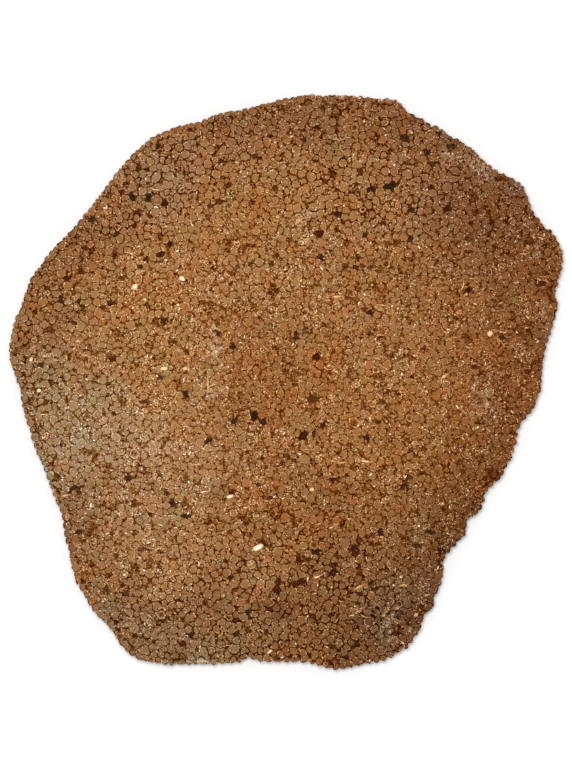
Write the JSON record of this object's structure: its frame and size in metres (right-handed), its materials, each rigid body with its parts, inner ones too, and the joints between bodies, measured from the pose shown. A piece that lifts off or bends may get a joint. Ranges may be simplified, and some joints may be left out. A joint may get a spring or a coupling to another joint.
{
  "type": "fossil coral slice",
  "caption": "Flat sawn slice of fossil colonial coral, a stone display piece with round corallites across both faces and a broken, ribbed edge.",
  "frame": {"origin": "on the sawn back face, under the middle of the slice's outline", "axes": "+Z out of the sawn show face, +Y towards the top of the face along its longer side, +X to the right of the face"},
  "size_m": [0.2782, 0.2884, 0.015],
  "materials": {
    "fossil_coral": "sawn and lightly weathered, tan corallites in dark brown rock, satin to dull"
  },
  "bodies": {
    "root": {"coral_slice": "fossil_coral"}
  },
  "joints": []
}
